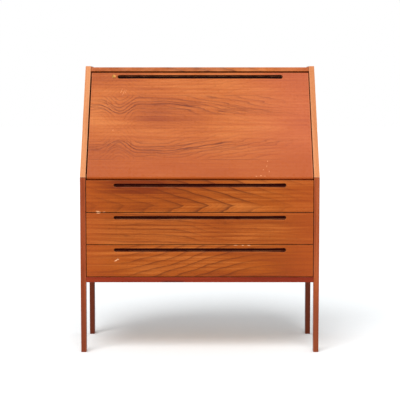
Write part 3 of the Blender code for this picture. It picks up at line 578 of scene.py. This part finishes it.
def drawerDetails(level):
    def details(finish, colour, rough, along, across, into):
        # redder near both ends, golden in the middle
        ends = finish.rise(abs(along + 0.02), 0.30, 0.50)
        colour = finish.blend(colour, drawerLook["redder"], ends * 0.45)
        colour = chips(finish, colour, along, across, drawerMarks[level], drawerLook["chip"])
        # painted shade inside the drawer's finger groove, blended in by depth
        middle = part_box("drawer_" + level + "_front")[1].z - groove["drop"] + groove["lean"] / 2
        band = (1.0 - finish.rise(abs(across - middle), *drawerLook["grooveBand"])) * (
            1.0 - finish.rise(abs(along) - groove["halfLength"], 0.001, 0.003))
        behind = into - drawerLook["face"]
        front = 1.0 - finish.rise(behind, *drawerLook["grooveBack"])
        deep = finish.rise(behind, *drawerLook["grooveFloor"]) * band * front
        return finish.blend(colour, drawerLook["shade"], deep), rough + deep * 0.5
    return details


# straight growth lines, tilted, or folded about a line: rings = a * x' + b * along, x' = |x - fold|
def tilted(acrossRate, alongRate, fold=None):
    def figure(finish, along, across):
        place = across if fold is None else abs(across - fold)
        return place * acrossRate + along * alongRate
    return figure


# darker wood towards the low end of the grain, fully darkened below the first height and plain above the
# second; on the back legs this is painted shade
def darkerBelow(tint, darkestAt, plainFrom, share):
    def details(finish, colour, rough, along, across, into):
        return finish.blend(colour, tint, (1.0 - finish.rise(along, darkestAt, plainFrom)) * share), rough
    return details


railStain = {"tint": paint(70, 22, 18), "at": -0.113, "halfWidth": (0.03, 0.06), "height": (0.299, 0.304),
             "share": 0.7}


# one dark stain on the lower edge of the bottom rail
def railDetails(finish, colour, rough, along, across, into):
    wide = 1.0 - finish.rise(abs(along - railStain["at"]), *railStain["halfWidth"])
    tall = 1.0 - finish.rise(across, *railStain["height"])
    return finish.blend(colour, railStain["tint"], wide * tall * railStain["share"]), rough


finishes = {
    "fall": wood("teakFall", fallLook, grains["fall"], fallFigure, fallDetails, fallPresence),
    "slope": wood("teakSlope", {
        **teak, **tones(dark=(178, 102, 54), mid=(200, 126, 76), light=(216, 146, 96),
                line=(160, 80, 44), pore=(150, 74, 40), worn=(250, 200, 160)), "seed": 1.4,
        "broad": 0.7, "wearAndHighlight": 0.8,
    }, grains["slope"]),
    "top": wood("teakTop", {
        **teak, **tones(dark=(176, 98, 46), mid=(204, 122, 66), light=(220, 142, 84),
                line=(140, 66, 34), worn=(246, 184, 140)), "seed": 8.2, "wearAndHighlight": 0.85, "figure": 0.35,
    }, grains["flat"], tilted(42.0, 1.5)),
    "side": wood("teakSide", {**teak, "seed": 6.6, "figure": 0.5, "wander": 1.6}, grains["uprightSide"],
                 tilted(44.0, 7.0, fold=0.03)),
    "leg": wood("teakLeg", {
        **teak, **tones(dark=(118, 46, 18), mid=(151, 67, 31), light=(172, 88, 46),
                line=(90, 34, 20), worn=(204, 124, 88)), "seed": 4.9, "wearAndHighlight": 0.45,
    }, grains["upright"], None, darkerBelow(paint(112, 52, 31), 0.12, 0.34, 0.6)),
    # the back legs' darker tones and their darkening towards the foot are painted shade
    "backLeg": wood("teakBackLeg", {
        **teak, **tones(dark=(118, 46, 18), mid=(146, 64, 30), light=(166, 84, 44),
                line=(70, 28, 16), worn=(170, 98, 66)), "seed": 9.9, "wearAndHighlight": 0.3,
    }, grains["upright"], None, darkerBelow(paint(92, 38, 20), 0.24, 0.42, 0.8)),
    "rail": wood("teakRail", {
        **teak, **tones(dark=(116, 34, 12), mid=(141, 47, 18), light=(156, 62, 30),
                line=(78, 22, 14), worn=(170, 84, 58)), "seed": 2.2, "wearAndHighlight": 0.35,
    }, grains["sideways"], None, railDetails),
    "inside": wood("teakInside", {**teak, "seed": 5.8, "figure": 0.35}, grains["flat"], tilted(36.0, 2.0)),
    "insideFront": wood("teakInsideFront", {**teak, "seed": 1.8, "figure": 0.45}, grains["sideways"],
                        tilted(40.0, 5.0)),
    "insideUpright": wood("teakInsideUpright", {**teak, "seed": 7.1}, grains["uprightSide"]),
    "back": wood("backPly", {
        **teak, **tones(dark=(104, 62, 36), mid=(134, 84, 50), light=(152, 102, 66),
                line=(84, 48, 28), worn=(170, 124, 86)), "seed": 3.7, "rough": 0.62, "figure": 0.45,
        "porous": 0.3,
    }, grains["upright"], tilted(30.0, 4.0, fold=-0.07)),
}
for level in levels:
    finishes[level] = wood("teakDrawer" + level.capitalize(), {**drawerLook, **drawerFinishes[level]},
                           grains["sideways"], drawerFigures[level], drawerDetails(level))

beech = {
    **tones(dark=(176, 134, 92), mid=(200, 160, 116), light=(214, 178, 136),
            line=(160, 116, 78), pore=(150, 104, 70), worn=(226, 196, 158)),
    "porous": 0.35, "broad": 0.6, "streaky": 0.5, "rough": 0.5,
}
finishes["beech"] = wood("beech", {**beech, "seed": 1.1}, grains["frontToBack"])
finishes["beechBack"] = wood("beechBack", {**beech, "seed": 4.1}, grains["sideways"])
finishes["birch"] = wood("birchPly", {**beech, "mid": paint(208, 172, 126), "seed": 6.1}, grains["flat"],
                         tilted(22.0, 5.0), plies(0.0012, paint(140, 96, 60)))
finishes["bottom"] = wood("bottomBoard", {**beech, **tones(mid=(180, 134, 88), dark=(150, 108, 70)),
                                          "seed": 2.9, "rough": 0.6}, grains["flat"],
                          tilted(20.0, 3.0), plies(0.0018, paint(120, 80, 50)))
brass = {
    **tones(bright=(226, 190, 110), dull=(172, 132, 66), speck=(96, 66, 30)), "rough": 0.26,
}
finishes["brass"] = metal("brassFittings", brass, upward)
finishes["pivot"] = metal("brassPivots", {**brass, **tones(bright=(120, 84, 44), dull=(84, 56, 30)),
                                         "rough": 0.42}, upward)
finishes["lock"] = metal("brassLock", {**brass, **tones(bright=(176, 124, 66), dull=(128, 86, 42)),
                                       "rough": 0.30}, rightward)
finishes["steel"] = metal("steelCam", {
    **tones(bright=(200, 202, 204), dull=(150, 152, 154), speck=(90, 88, 84)), "rough": 0.3,
}, rightward)
print("finishes made:", len(finishes))


legs = {
    "arris": 0.0022, "topArris": 0.6, "footRound": 0.0024, "taper": 0.0007, "footHeight": 0.30, "steps": 5,
    "firstStation": 0.06,
}


# a leg: rounded rectangles stacked up z, drawn in at the foot by round * (1 - sin t) and by a slow taper;
# the last rings lie in the plane that closes the leg, z = level + slope * (y - front)
def legShape(low, high, topSlope):
    t = np.linspace(0, math.pi / 2, legs["steps"] + 1)
    stations = np.linspace(legs["firstStation"], legs["footHeight"], legs["steps"])
    arris = legs["arris"] * legs["topArris"]
    inset = np.concatenate([
        legs["footRound"] * 0.5 * (1 - np.sin(t)) + legs["taper"],
        legs["taper"] * (1 - stations / legs["footHeight"]),
        arris * (1 - np.cos(t)),
    ])
    centre = (low[:2] + high[:2]) / 2
    flat = outlineRings(rectangle(low[:2], high[:2]), legs["arris"], np.zeros(1))[0]
    half = (high[:2] - low[:2]) / 2
    rings = centre + (flat - centre)[None] * (1 - inset[:, None, None] / half)
    lift = np.concatenate([legs["footRound"] * 0.5 * (1 - np.cos(t)), stations])
    heights = np.broadcast_to(lift[:, None], (len(lift), flat.shape[0]))
    top = high[2] - arris * (1 - np.sin(t)[:, None]) + topSlope * (rings[len(lift):, :, 1] - high[1])
    return loft(np.concatenate([rings, np.concatenate([heights, top], 0)[..., None]], 2))


steepness = slopeRun[1] / slopeRun[0]


# a point on the sloping plane that lies `behind` behind the sides' sloping edge, at a given z or y
def slopeAtZ(z, behind=0.0):
    return desk["elbow"][0] + (z - desk["elbow"][1]) / steepness + behind / slopeRun[1], z


def slopeAtY(y, behind=0.0):
    return y, desk["elbow"][1] + (y - desk["elbow"][0] - behind / slopeRun[1]) * steepness


for side, sign in sides.items():
    for place in ("front", "back"):
        node = side + "_" + place + "_leg"
        low, high = nodeBox(node)
        cornerZ = slopeAtY(float(high[1]), desk["legDepth"])[1] - desk["jointGap"]
        elbowZ = desk["elbow"][1] - desk["jointGap"]
        front = place == "front"
        tilt = (cornerZ - elbowZ) / (high[1] - low[1]) if front else 0.0
        if front:
            high[2] = cornerZ
        addPiece(node + "_turned", legShape(low, high, tilt), finishes["leg" if front else "backLeg"],
                 "root", (node,))
    low, high = nodeBox(side + "_slope_rail")
    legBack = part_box(side + "_front_leg")[1].y
    railCorners = [
        (desk["elbow"][0], desk["elbow"][1] + desk["jointGap"]),
        slopeAtY(legBack, desk["legDepth"] - 0.0001),
        slopeAtZ(desk["slopeTop"][1], desk["legDepth"]),
        desk["slopeTop"],
    ]
    rings = boardRings(railCorners, (low[0], high[0]), 0.0016)
    addPiece(side + "_slope_edge", loft(placed(rings, origin, backward, upward, rightward)),
             finishes["slope"], "root", (side + "_slope_rail",))
    low, high = nodeBox(side + "_side_panel")
    panelCorners = [
        (low[1], low[2]), (high[1], low[2]), (high[1], high[2]),
        slopeAtZ(high[2], desk["legDepth"] + 0.0003), slopeAtY(low[1], desk["legDepth"] + 0.0003),
    ]
    rings = boardRings(panelCorners, (low[0], high[0]), 0.0006)
    addPiece(side + "_panel", loft(placed(rings, origin, backward, upward, rightward)),
             finishes["side"], "root", (side + "_side_panel",))

# the top board's front edge follows the slope; the desk floor, strike rail, shelf and dividers keep
# their own solids and only get new finishes
low, high = nodeBox("top_board")
topCorners = [slopeAtZ(low[2], 0.0065), (high[1], low[2]), (high[1], high[2]), slopeAtZ(high[2], 0.0065)]
addPiece("top_board_solid", loft(placed(boardRings(topCorners, (low[0], high[0]), 0.0014), origin,
                                        backward, upward, rightward)),
         finishes["top"], "root", ("top_board",))
boardFor("bottom_rail", finishes["rail"], 0.0014)
boardFor("bottom_board", finishes["bottom"], 0.0006)
boardFor("back_panel", finishes["back"], 0.0006)
for side in sides:
    boardFor("upright_" + side, finishes["insideUpright"], 0.0008)
    for level in levels:
        boardFor("runner_" + level + "_" + side, finishes["beech"], 0.0008)
for node, key in (("desk_floor", "inside"), ("strike_rail", "insideFront"), ("pigeonhole_shelf", "inside"),
                  ("divider_left", "insideUpright"), ("divider_right", "insideUpright")):
    dress(nodes[node], finishes[key])
print("case built")


# the hollow of a groove: stadium rings from outside the face to the groove's floor.
# at depth d its edge is let out by mouth * (1 - sin t) near the face, more along the lower lip,
# and drawn in by inner * (1 - cos t) at the floor, while it leans up by lean * d / depth
def grooveShape(height, arcSteps=14, straightSteps=10):
    angle = np.linspace(-math.pi / 2, math.pi / 2, arcSteps + 1)
    arc = np.stack([np.cos(angle), np.sin(angle)], 1)
    run = np.linspace(-1, 1, straightSteps + 1)[1:-1]
    half = groove["halfLength"] - height / 2
    level = np.zeros_like(run)
    centre = np.concatenate([np.full(arcSteps + 1, half), -run * half,
                             np.full(arcSteps + 1, -half), run * half])
    normal = np.concatenate([arc, np.stack([level, level + 1], 1), -arc, np.stack([level, level - 1], 1)])
    t = np.linspace(0, math.pi / 2, groove["steps"] + 1)
    outDepth = np.array([-0.004])
    easing = np.concatenate([[1.0], 1 - np.sin(t), [0.0], np.zeros(len(t))])
    wallEnd = groove["depth"] - groove["inner"]
    depth = np.concatenate([outDepth, (1 - np.cos(t)) * groove["mouth"], [wallEnd],
                            wallEnd + np.sin(t) * groove["inner"]])
    pull = np.concatenate([np.zeros(len(t) + 2), (1 - np.cos(t)) * groove["inner"]])
    mouth = groove["mouth"] + groove["lip"] * np.maximum(-normal[:, 1], 0.0) ** 2
    swell = np.concatenate([np.full(arcSteps + 1, groove["endSwell"]),
                            np.zeros(len(normal) - arcSteps - 1)])
    reach = height / 2 + easing[:, None] * mouth[None, :] + swell[None, :] - pull[:, None]
    # the lip's easing runs deeper where it is wider
    deeper = np.where(easing[:, None] < 1, depth[:, None] * mouth[None, :] / groove["mouth"],
                      depth[:, None])
    deeper = np.where((depth < groove["mouth"] * 1.01)[:, None], deeper, depth[:, None])
    u = centre[None, :] + normal[None, :, 0] * reach
    v = normal[None, :, 1] * reach + groove["lean"] * np.maximum(deeper, 0) / groove["depth"]
    return np.stack([u, v, -deeper], 2)


# a round bar as a cutter or a piece, along w from low to high
def barRings(radius, low, high, segments=40):
    return turnedRings([(radius, low), (radius, high)], segments)


fall = {
    "thickness": 0.020, "length": 0.519112, "halfWidth": 0.4735, "arris": 0.0012, "grooveHeight": 0.018,
    "bushRadius": 0.0065, "bushDepth": 0.016, "lockX": -0.375, "lockDrop": 0.020, "lockRadius": 0.0085,
}
half = fall["thickness"] / 2
lockUp = fall["length"] - fall["lockDrop"]
fallCorners = [(-half, half), (-half, -half), (fall["length"], -half), (fall["length"], half)]
fallRadius = np.array([half - 0.0001, half - 0.0001, fall["arris"] + 0.0002, fall["arris"] + 0.0002])
rings = boardRings(fallCorners, (-fallLook["leftHalfWidth"], fall["halfWidth"]), fall["arris"],
                   fallRadius)
fallShape = loft(placed(rings, hinge, upFall, outOfFall, rightward))
fallCuts = [
    loft(placed(grooveShape(fall["grooveHeight"]),
                hinge + upFall * (fall["length"] - groove["drop"]) + outOfFall * half,
                rightward, upFall, outOfFall)),
    loft(placed(barRings(fall["lockRadius"], -0.03, 0.03),
                hinge + rightward * fall["lockX"] + upFall * lockUp, rightward, upFall, outOfFall)),
]
for sign in sides.values():
    fallCuts.append(loft(placed(barRings(fall["bushRadius"], -fall["bushDepth"], 0.004),
                                hinge + rightward * sign * fall["halfWidth"],
                                upward, backward * sign, rightward * sign)))
addPiece("fall_panel", fallShape, finishes["fall"], "fall", ("fall_front",), fallCuts)

drawer = {"arris": 0.0012, "grooveHeight": 0.0145, "panelBite": 0.006, "panelRise": 0.015, "panel": 0.005}
for level in levels:
    node = "drawer_" + level + "_front"
    low, high = nodeBox(node)
    rings = boardRings(rectangle(low[1:], high[1:]), (low[0], high[0]), drawer["arris"])
    shape = loft(placed(rings, origin, backward, upward, rightward))
    panelLow = low[2] + drawer["panelRise"] - 0.0003
    slotRings = boardRings(rectangle((high[1] - drawer["panelBite"], panelLow),
                                     (high[1] + 0.01, panelLow + drawer["panel"] + 0.0006)),
                           (low[0] - 0.01, high[0] + 0.01), 0.0001)
    cuts = [
        loft(placed(slotRings, origin, backward, upward, rightward)),
        loft(placed(grooveShape(drawer["grooveHeight"]),
                    (0.0, low[1], high[2] - groove["drop"]), rightward, upward, -backward)),
    ]
    body = "drawer_" + level
    addPiece(body + "_face", shape, finishes[level], body, (node,), cuts)
print("fronts routed")


dovetail = {"count": 4, "deep": 0.012, "narrow": 0.011, "wide": 0.018, "proud": 0.00025}
for level in levels:
    body = "drawer_" + level
    for side, sign in sides.items():
        node = body + "_" + side + "_side"
        dress(nodes[node], finishes["beech"])
        low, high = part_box(node)
        spacing = (high.z - low.z) / dovetail["count"]
        tail = boardRings([(-dovetail["deep"], -dovetail["wide"] / 2), (0.0, -dovetail["narrow"] / 2),
                           (0.0, dovetail["narrow"] / 2), (-dovetail["deep"], dovetail["wide"] / 2)],
                          (-0.004, dovetail["proud"]), 0.0001)
        tailShape = loft(tail)
        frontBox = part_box(body + "_front")
        outer = frontBox[1].x
        places = [((sign * outer, frontBox[1].y, low.z + spacing * (i + 0.5)),
                   backward, upward, rightward * sign) for i in range(dovetail["count"])]
        addPiece(node + "_dovetails", copies(tailShape, places), finishes["beech"], body)
    boardFor(body + "_back", finishes["beechBack"], 0.0008, body)
    boardFor(body + "_floor", finishes["birch"], 0.0003, body)
for side in sides:
    body = "small_drawer_" + side
    for part, key in (("_front", "insideFront"), ("_box", "beech")):
        dress(nodes[body + part], finishes[key])
print("drawer boxes finished")


lock = {"radius": 0.0082, "rim": 0.0088, "rimHeight": 0.0012, "plug": 0.0052, "bore": 0.0055,
        "reach": 0.0117, "keyWide": 0.0013, "keyTall": 0.0068, "rimEdge": 0.0009, "plugEdge": 0.0005}
lockPlace = hinge + rightward * fall["lockX"] + upFall * lockUp
face = half
rimTop = face + 0.0003 + lock["rimHeight"]
t = np.linspace(0, math.pi / 2, 6)
# the lock's tube: up the outside, over a rounded rim, down a small dished step and back through the bore
tube = np.concatenate([
    [(lock["radius"], -face - lock["reach"]), (lock["radius"], face + 0.0002),
     (lock["rim"], face + 0.0003)],
    np.stack([lock["rim"] - lock["rimEdge"] * (1 - np.cos(t)),
              rimTop - lock["rimEdge"] * (1 - np.sin(t))], 1),
    [(lock["bore"] + 0.0011, rimTop), (lock["bore"] + 0.0007, rimTop - 0.0004),
     (lock["bore"], rimTop - 0.0006), (lock["bore"], -face - lock["reach"])],
])
addPiece("lock_body", loft(placed(turnedRings(tube, 64), lockPlace, rightward, upFall, outOfFall), True),
         finishes["lock"], "fall", ("lock_housing",), sharp=50)
plugTop = rimTop - lock["plugEdge"]
plugProfile = np.concatenate([
    [(0.0008, -face - lock["reach"]), (lock["plug"], -face - lock["reach"])],
    np.stack([lock["plug"] - lock["plugEdge"] * (1 - np.cos(t)),
              plugTop - lock["plugEdge"] * (1 - np.sin(t))], 1),
    [(0.0036, plugTop), (0.0033, plugTop - 0.00015), (0.0006, plugTop - 0.00015)],
])
keyway = boardRings(rectangle((-lock["keyWide"] / 2, -lock["keyTall"] / 2),
                              (lock["keyWide"] / 2, lock["keyTall"] / 2)),
                    (plugTop - 0.008, plugTop + 0.002), 0.0002)
addPiece("lock_barrel", loft(placed(turnedRings(plugProfile, 64), lockPlace, rightward, upFall, outOfFall)),
         finishes["lock"], "lock", ("lock_plug",),
         [loft(placed(keyway, lockPlace, rightward, upFall, outOfFall))], 50)
dress(nodes["lock_cam"], finishes["steel"])
for node, item in nodes.items():
    if node.startswith(("pivot_", "stay_")):
        dress(item, finishes["pivot" if node.startswith("pivot_") else "brass"])

# a slotted screw head of radius 1: a low dome with a slot, made once and copied
domeTurn = np.linspace(0.08, 1.0, 6)
dome = np.stack([np.concatenate([domeTurn, [1.0]]),
                 np.concatenate([0.38 * np.sqrt(1.04 - domeTurn ** 2), [-0.12]])], 1)
screwItem = bpy.data.objects.new("screwPattern", newMesh("screwPattern", loft(turnedRings(dome, 24))))
bpy.context.scene.collection.objects.link(screwItem)
slotCut = loft(boardRings(rectangle((-1.3, -0.13), (1.3, 0.13)), (0.12, 1.0), 0.02))
carved(screwItem, [slotCut])
screwPoints = np.array([vertex.co for vertex in screwItem.data.vertices])
screwFaces = [list(polygon.vertices) for polygon in screwItem.data.polygons]
bpy.data.objects.remove(screwItem)


# screws set at places, each turned by its own angle about the way it faces
def screws(name, places, radius, u, w, material, body):
    v = np.cross(w, u)
    turns = np.random.default_rng(len(places) + 11).uniform(0, math.pi, len(places))
    spots = [(spot, (u * math.cos(turn) + v * math.sin(turn)) * radius,
              (v * math.cos(turn) - u * math.sin(turn)) * radius, w * radius)
             for spot, turn in zip(places, turns)]
    return addPiece(name, copies((screwPoints, screwFaces), spots), material, body, sharp=40)


# screw heads: how far each stands from the middle of the desk, and its steps from the plate's middle
plates = {
    "pivotX": 0.4747, "pivotStep": 0.0065, "pivotRadius": 0.0016,
    "sideX": 0.4745, "sideStep": 0.0088, "sideRadius": 0.0022,
    "fallX": 0.4515, "fallUp": 0.2583, "fallOut": 0.0025, "fallStep": 0.010, "fallRadius": 0.0024,
}
for side, sign in sides.items():
    inward = -rightward * sign
    plateX = sign * plates["pivotX"]
    screws("pivot_screws_" + side,
           [(plateX, hinge[1], hinge[2] + step) for step in (plates["pivotStep"], -plates["pivotStep"])],
           plates["pivotRadius"], backward, inward, finishes["brass"], "root")
    low, high = nodeBox("stay_side_bracket_" + side)
    plateX = sign * plates["sideX"]
    middle = (low + high) / 2
    screws("stay_bracket_screws_" + side,
           [(plateX, middle[1] + step, middle[2]) for step in (-plates["sideStep"], plates["sideStep"])],
           plates["sideRadius"], backward, inward, finishes["brass"], "root")
    spots = [hinge + rightward * (sign * plates["fallX"]) + upFall * (plates["fallUp"] + step)
             - outOfFall * (half + plates["fallOut"])
             for step in (-plates["fallStep"], 0.0, plates["fallStep"])]
    screws("fall_bracket_screws_" + side, spots, plates["fallRadius"], upFall, -outOfFall,
           finishes["brass"], "fall")

# screws round the back panel
panelLow, panelHigh = nodeBox("back_panel")
backScrews = {"inset": 0.013, "across": 5, "up": 5, "radius": 0.0030}
acrossSpots = np.linspace(panelLow[0] + backScrews["inset"], panelHigh[0] - backScrews["inset"],
                          backScrews["across"])
upSpots = np.linspace(panelLow[2] + backScrews["inset"], panelHigh[2] - backScrews["inset"],
                      backScrews["up"])[1:-1]
spots = [(x, panelHigh[1], z) for z in (panelLow[2] + backScrews["inset"],
                                        panelHigh[2] - backScrews["inset"]) for x in acrossSpots]
spots += [(x, panelHigh[1], z) for x in (acrossSpots[0], acrossSpots[-1]) for z in upSpots]
screws("back_screws", spots, backScrews["radius"], rightward, backward, finishes["steel"], "root")
print("metal fitted")


studio = {
    "floorHalf": 40.0, "ambient": 0.62, "sun": 2.38, "sunSpread": 42.0, "sunFrom": (-0.22, -1.0, 1.25),
    "floorTones": [(0.3, (0.925, 0.955, 0.97, 1.0)), (0.7, (0.935, 0.965, 0.98, 1.0))],
}
edge = studio["floorHalf"]
floorCorners = rectangle((-edge, -edge), (edge, edge))
floorMesh = bpy.data.meshes.new("floor")
floorMesh.from_pydata([(x, y, 0.0) for x, y in floorCorners], [], [(0, 1, 2, 3)])
floor = bpy.data.objects.new("floor", floorMesh)
bpy.context.scene.collection.objects.link(floor)
floorFinish = Finish("paleFloor", {"Specular IOR Level": 0.0, "Roughness": 1.0})
speckle = floorFinish.noise([floorFinish.dot(floorFinish.place, axis) * 30.0 for axis in np.eye(3)], 3.0)
floorTone = floorFinish.ramp(speckle, studio["floorTones"])
floorFinish.tree.links.new(floorTone.socket, floorFinish.shader.inputs["Base Color"])
floorMesh.materials.append(floorFinish.material)

world = bpy.data.worlds.new("studio")
world.use_nodes = True
bpy.context.scene.world = world
tree = world.node_tree
tree.nodes.clear()
skyOut = tree.nodes.new("ShaderNodeOutputWorld")
seen, lit, choose, path = (tree.nodes.new(kind) for kind in (
    "ShaderNodeBackground", "ShaderNodeBackground", "ShaderNodeMixShader", "ShaderNodeLightPath"))
seen.inputs["Strength"].default_value = 1.0
lit.inputs["Strength"].default_value = studio["ambient"]
for background in (seen, lit):
    background.inputs["Color"].default_value = (1.0, 1.0, 1.0, 1.0)
tree.links.new(path.outputs["Is Camera Ray"], choose.inputs[0])
tree.links.new(lit.outputs[0], choose.inputs[1])
tree.links.new(seen.outputs[0], choose.inputs[2])
tree.links.new(choose.outputs[0], skyOut.inputs["Surface"])

sunLight = bpy.data.lights.new("softSun", "SUN")
sunLight.energy = studio["sun"]
sunLight.angle = math.radians(studio["sunSpread"])
sun = bpy.data.objects.new("softSun", sunLight)
toSun = np.array(studio["sunFrom"]) / np.linalg.norm(studio["sunFrom"])
sun.rotation_euler = (math.acos(toSun[2]), 0.0, math.atan2(toSun[0], -toSun[1]))
bpy.context.scene.collection.objects.link(sun)

view = {"place": (0.010, -5.510, 1.069), "lens": 114.4, "down": 4.4, "shift": (-0.0055, -0.0117)}
cameraData = bpy.data.cameras.new("camera")
cameraData.lens, cameraData.sensor_width = view["lens"], 36.0
cameraData.shift_x, cameraData.shift_y = view["shift"]
cameraData.clip_end = 200.0
camera = bpy.data.objects.new("camera", cameraData)
camera.location = view["place"]
camera.rotation_euler = (math.radians(90.0 - view["down"]), 0.0, 0.0)
bpy.context.scene.collection.objects.link(camera)
bpy.context.scene.camera = camera
bpy.context.scene.view_settings.view_transform = "Standard"
print("stage set")

bpy.context.view_layer.update()
